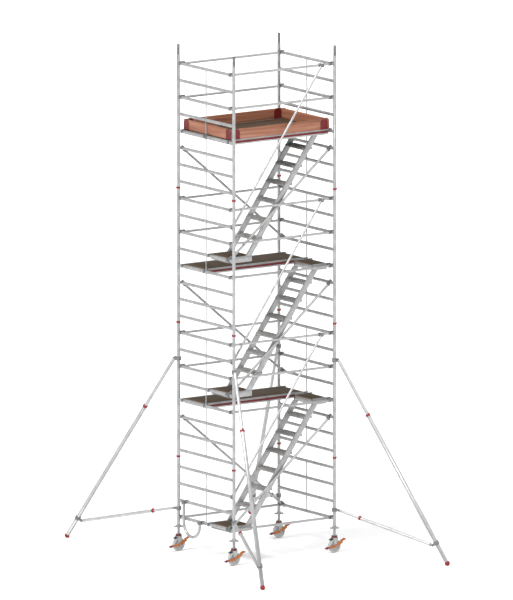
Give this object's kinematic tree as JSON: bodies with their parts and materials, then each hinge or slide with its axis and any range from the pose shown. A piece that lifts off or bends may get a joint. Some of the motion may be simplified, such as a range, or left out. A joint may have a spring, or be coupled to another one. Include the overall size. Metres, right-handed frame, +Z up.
{
  "type": "mobile tower scaffold",
  "caption": "Tall aluminium access tower on castors, with ladder end frames, inside stair flights, decks, guard rails, toe boards and telescopic stabilisers.",
  "frame": {"origin": "on the floor at the middle of the tower, which is the middle of the bounding box's base", "axes": "+Z up; +X along the stairs from their low end to their high end, between the end frames; +Y across, from the stair side to the deck side"},
  "size_m": [3.3758, 5.0956, 7.54],
  "materials": {
    "aluminium_tube": "extruded, mill finish",
    "aluminium_section": "extruded, mill finish",
    "tread_aluminium": "ribbed, dull",
    "grey_casting": "satin",
    "red_clip": "satin",
    "red_bracket": "satin",
    "deck_plywood": "phenolic film faced, anti-slip",
    "toe_board_wood": "sawn, clear sealed",
    "plated_steel": "zinc plated",
    "galvanised_steel": "galvanised pressing",
    "castor_wheel": "moulded",
    "orange_pedal": "powder coated"
  },
  "bodies": {
    "tower": {"base_frame_left": "aluminium_tube", "base_frame_right": "aluminium_tube", "end_frame_left_1": "aluminium_tube", "end_frame_left_2": "aluminium_tube", "end_frame_left_3": "aluminium_tube", "end_frame_right_1": "aluminium_tube", "end_frame_right_2": "aluminium_tube", "end_frame_right_3": "aluminium_tube", "joint_clips": "red_clip", "guard_rails": "aluminium_tube", "ledgers": "aluminium_tube", "diagonal_braces": "aluminium_tube", "rail_claws": "grey_casting", "stair_handrails": "aluminium_tube", "deck_beams": "aluminium_section", "deck_panels": "deck_plywood", "deck_hooks": "grey_casting", "stair_stringers": "aluminium_section", "stair_treads": "tread_aluminium", "stair_landings": "aluminium_section", "toe_boards": "toe_board_wood", "toe_board_brackets": "red_bracket", "access_step": "aluminium_tube"},
    "hatch": {"hatch_lid": "deck_plywood"},
    "jack_left_back": {"castor_jack_left_back": "plated_steel"},
    "nut_left_back": {"castor_nut_left_back": "plated_steel"},
    "fork_left_back": {"castor_fork_left_back": "galvanised_steel"},
    "wheel_left_back": {"castor_wheel_left_back": "castor_wheel"},
    "brake_left_back": {"castor_brake_left_back": "orange_pedal"},
    "stabiliser_left_back": {"stabiliser_mount_left_back": "aluminium_tube"},
    "stabiliser_leg_left_back": {"stabiliser_leg_left_back": "aluminium_tube"},
    "strut_inner_left_back": {"stabiliser_strut_inner_left_back": "aluminium_tube"},
    "strut_outer_left_back": {"stabiliser_strut_outer_left_back": "aluminium_tube"},
    "jack_left_front": {"castor_jack_left_front": "plated_steel"},
    "nut_left_front": {"castor_nut_left_front": "plated_steel"},
    "fork_left_front": {"castor_fork_left_front": "galvanised_steel"},
    "wheel_left_front": {"castor_wheel_left_front": "castor_wheel"},
    "brake_left_front": {"castor_brake_left_front": "orange_pedal"},
    "stabiliser_left_front": {"stabiliser_mount_left_front": "aluminium_tube"},
    "stabiliser_leg_left_front": {"stabiliser_leg_left_front": "aluminium_tube"},
    "strut_inner_left_front": {"stabiliser_strut_inner_left_front": "aluminium_tube"},
    "strut_outer_left_front": {"stabiliser_strut_outer_left_front": "aluminium_tube"},
    "jack_right_back": {"castor_jack_right_back": "plated_steel"},
    "nut_right_back": {"castor_nut_right_back": "plated_steel"},
    "fork_right_back": {"castor_fork_right_back": "galvanised_steel"},
    "wheel_right_back": {"castor_wheel_right_back": "castor_wheel"},
    "brake_right_back": {"castor_brake_right_back": "orange_pedal"},
    "stabiliser_right_back": {"stabiliser_mount_right_back": "aluminium_tube"},
    "stabiliser_leg_right_back": {"stabiliser_leg_right_back": "aluminium_tube"},
    "strut_inner_right_back": {"stabiliser_strut_inner_right_back": "aluminium_tube"},
    "strut_outer_right_back": {"stabiliser_strut_outer_right_back": "aluminium_tube"},
    "jack_right_front": {"castor_jack_right_front": "plated_steel"},
    "nut_right_front": {"castor_nut_right_front": "plated_steel"},
    "fork_right_front": {"castor_fork_right_front": "galvanised_steel"},
    "wheel_right_front": {"castor_wheel_right_front": "castor_wheel"},
    "brake_right_front": {"castor_brake_right_front": "orange_pedal"},
    "stabiliser_right_front": {"stabiliser_mount_right_front": "aluminium_tube"},
    "stabiliser_leg_right_front": {"stabiliser_leg_right_front": "aluminium_tube"},
    "strut_inner_right_front": {"stabiliser_strut_inner_right_front": "aluminium_tube"},
    "strut_outer_right_front": {"stabiliser_strut_outer_right_front": "aluminium_tube"}
  },
  "joints": [
    {"name": "hatch_lift", "type": "hinge", "parent": "tower", "child": "hatch", "pos_m": [0, -0.048, 6.3023], "axis": [-1, 0, 0], "range_deg": [0, 100]},
    {"name": "jack_left_back", "type": "slide", "parent": "tower", "child": "jack_left_back", "axis": [0, 0, -1], "range_m": [-0.08, 0.2]},
    {"name": "nut_left_back", "type": "hinge", "parent": "tower", "child": "nut_left_back", "pos_m": [-0.9, 0.71, 0.371], "axis": [0, 0, 1], "continuous": true},
    {"name": "swivel_left_back", "type": "hinge", "parent": "jack_left_back", "child": "fork_left_back", "pos_m": [-0.9, 0.71, 0.236], "axis": [0, 0, 1], "continuous": true},
    {"name": "wheel_left_back", "type": "hinge", "parent": "fork_left_back", "child": "wheel_left_back", "pos_m": [-0.9, 0.71, 0.1], "axis": [0, 1, 0], "continuous": true},
    {"name": "brake_left_back", "type": "hinge", "parent": "fork_left_back", "child": "brake_left_back", "pos_m": [-0.9, 0.71, 0.1], "axis": [0, -1, 0], "range_deg": [0, 15]},
    {"name": "stabiliser_swing_left_back", "type": "hinge", "parent": "tower", "child": "stabiliser_left_back", "pos_m": [-0.9, 0.71, 0.635], "axis": [0, 0, 1], "range_deg": [-20, 60]},
    {"name": "stabiliser_slide_left_back", "type": "slide", "parent": "stabiliser_left_back", "child": "stabiliser_leg_left_back", "axis": [-0.2125, 0.51, -0.8335], "range_m": [-0.1, 0.1]},
    {"name": "strut_pivot_left_back", "type": "hinge", "parent": "stabiliser_left_back", "child": "strut_inner_left_back", "pos_m": [-0.92692, 0.77462, 0.635], "axis": [0.9231, 0.3846, 0], "range_deg": [-3, 3]},
    {"name": "strut_slide_left_back", "type": "slide", "parent": "strut_inner_left_back", "child": "strut_outer_left_back", "axis": [-0.3756, 0.9014, -0.2156], "range_m": [-0.08, 0.08]},
    {"name": "jack_left_front", "type": "slide", "parent": "tower", "child": "jack_left_front", "axis": [0, 0, -1], "range_m": [-0.08, 0.2]},
    {"name": "nut_left_front", "type": "hinge", "parent": "tower", "child": "nut_left_front", "pos_m": [-0.9, -0.71, 0.371], "axis": [0, 0, 1], "continuous": true},
    {"name": "swivel_left_front", "type": "hinge", "parent": "jack_left_front", "child": "fork_left_front", "pos_m": [-0.9, -0.71, 0.236], "axis": [0, 0, 1], "continuous": true},
    {"name": "wheel_left_front", "type": "hinge", "parent": "fork_left_front", "child": "wheel_left_front", "pos_m": [-0.9, -0.71, 0.1], "axis": [0, 1, 0], "continuous": true},
    {"name": "brake_left_front", "type": "hinge", "parent": "fork_left_front", "child": "brake_left_front", "pos_m": [-0.9, -0.71, 0.1], "axis": [0, -1, 0], "range_deg": [0, 15]},
    {"name": "stabiliser_swing_left_front", "type": "hinge", "parent": "tower", "child": "stabiliser_left_front", "pos_m": [-0.9, -0.71, 0.635], "axis": [0, 0, 1], "range_deg": [-60, 20]},
    {"name": "stabiliser_slide_left_front", "type": "slide", "parent": "stabiliser_left_front", "child": "stabiliser_leg_left_front", "axis": [-0.2125, -0.51, -0.8335], "range_m": [-0.1, 0.1]},
    {"name": "strut_pivot_left_front", "type": "hinge", "parent": "stabiliser_left_front", "child": "strut_inner_left_front", "pos_m": [-0.92692, -0.77462, 0.635], "axis": [-0.9231, 0.3846, 0], "range_deg": [-3, 3]},
    {"name": "strut_slide_left_front", "type": "slide", "parent": "strut_inner_left_front", "child": "strut_outer_left_front", "axis": [-0.3756, -0.9014, -0.2156], "range_m": [-0.08, 0.08]},
    {"name": "jack_right_back", "type": "slide", "parent": "tower", "child": "jack_right_back", "axis": [0, 0, -1], "range_m": [-0.08, 0.2]},
    {"name": "nut_right_back", "type": "hinge", "parent": "tower", "child": "nut_right_back", "pos_m": [0.9, 0.71, 0.371], "axis": [0, 0, 1], "continuous": true},
    {"name": "swivel_right_back", "type": "hinge", "parent": "jack_right_back", "child": "fork_right_back", "pos_m": [0.9, 0.71, 0.236], "axis": [0, 0, 1], "continuous": true},
    {"name": "wheel_right_back", "type": "hinge", "parent": "fork_right_back", "child": "wheel_right_back", "pos_m": [0.9, 0.71, 0.1], "axis": [0, 1, 0], "continuous": true},
    {"name": "brake_right_back", "type": "hinge", "parent": "fork_right_back", "child": "brake_right_back", "pos_m": [0.9, 0.71, 0.1], "axis": [0, -1, 0], "range_deg": [0, 15]},
    {"name": "stabiliser_swing_right_back", "type": "hinge", "parent": "tower", "child": "stabiliser_right_back", "pos_m": [0.9, 0.71, 0.635], "axis": [0, 0, 1], "range_deg": [-60, 20]},
    {"name": "stabiliser_slide_right_back", "type": "slide", "parent": "stabiliser_right_back", "child": "stabiliser_leg_right_back", "axis": [0.2125, 0.51, -0.8335], "range_m": [-0.1, 0.1]},
    {"name": "strut_pivot_right_back", "type": "hinge", "parent": "stabiliser_right_back", "child": "strut_inner_right_back", "pos_m": [0.92692, 0.77462, 0.635], "axis": [0.9231, -0.3846, 0], "range_deg": [-3, 3]},
    {"name": "strut_slide_right_back", "type": "slide", "parent": "strut_inner_right_back", "child": "strut_outer_right_back", "axis": [0.3756, 0.9014, -0.2156], "range_m": [-0.08, 0.08]},
    {"name": "jack_right_front", "type": "slide", "parent": "tower", "child": "jack_right_front", "axis": [0, 0, -1], "range_m": [-0.08, 0.2]},
    {"name": "nut_right_front", "type": "hinge", "parent": "tower", "child": "nut_right_front", "pos_m": [0.9, -0.71, 0.371], "axis": [0, 0, 1], "continuous": true},
    {"name": "swivel_right_front", "type": "hinge", "parent": "jack_right_front", "child": "fork_right_front", "pos_m": [0.9, -0.71, 0.236], "axis": [0, 0, 1], "continuous": true},
    {"name": "wheel_right_front", "type": "hinge", "parent": "fork_right_front", "child": "wheel_right_front", "pos_m": [0.9, -0.71, 0.1], "axis": [0, 1, 0], "continuous": true},
    {"name": "brake_right_front", "type": "hinge", "parent": "fork_right_front", "child": "brake_right_front", "pos_m": [0.9, -0.71, 0.1], "axis": [0, -1, 0], "range_deg": [0, 15]},
    {"name": "stabiliser_swing_right_front", "type": "hinge", "parent": "tower", "child": "stabiliser_right_front", "pos_m": [0.9, -0.71, 0.635], "axis": [0, 0, 1], "range_deg": [-20, 60]},
    {"name": "stabiliser_slide_right_front", "type": "slide", "parent": "stabiliser_right_front", "child": "stabiliser_leg_right_front", "axis": [0.2125, -0.51, -0.8335], "range_m": [-0.1, 0.1]},
    {"name": "strut_pivot_right_front", "type": "hinge", "parent": "stabiliser_right_front", "child": "strut_inner_right_front", "pos_m": [0.92692, -0.77462, 0.635], "axis": [-0.9231, -0.3846, 0], "range_deg": [-3, 3]},
    {"name": "strut_slide_right_front", "type": "slide", "parent": "strut_inner_right_front", "child": "strut_outer_right_front", "axis": [0.3756, -0.9014, -0.2156], "range_m": [-0.08, 0.08]}
  ],
  "couplings": [
    {"joint": "strut_pivot_left_back", "follows": "stabiliser_slide_left_back", "rad_per_m": -0.41679},
    {"joint": "strut_slide_left_back", "follows": "stabiliser_slide_left_back", "ratio": 0.71892},
    {"joint": "strut_pivot_left_front", "follows": "stabiliser_slide_left_front", "rad_per_m": -0.41679},
    {"joint": "strut_slide_left_front", "follows": "stabiliser_slide_left_front", "ratio": 0.71892},
    {"joint": "strut_pivot_right_back", "follows": "stabiliser_slide_right_back", "rad_per_m": -0.41679},
    {"joint": "strut_slide_right_back", "follows": "stabiliser_slide_right_back", "ratio": 0.71892},
    {"joint": "strut_pivot_right_front", "follows": "stabiliser_slide_right_front", "rad_per_m": -0.41679},
    {"joint": "strut_slide_right_front", "follows": "stabiliser_slide_right_front", "ratio": 0.71892}
  ]
}
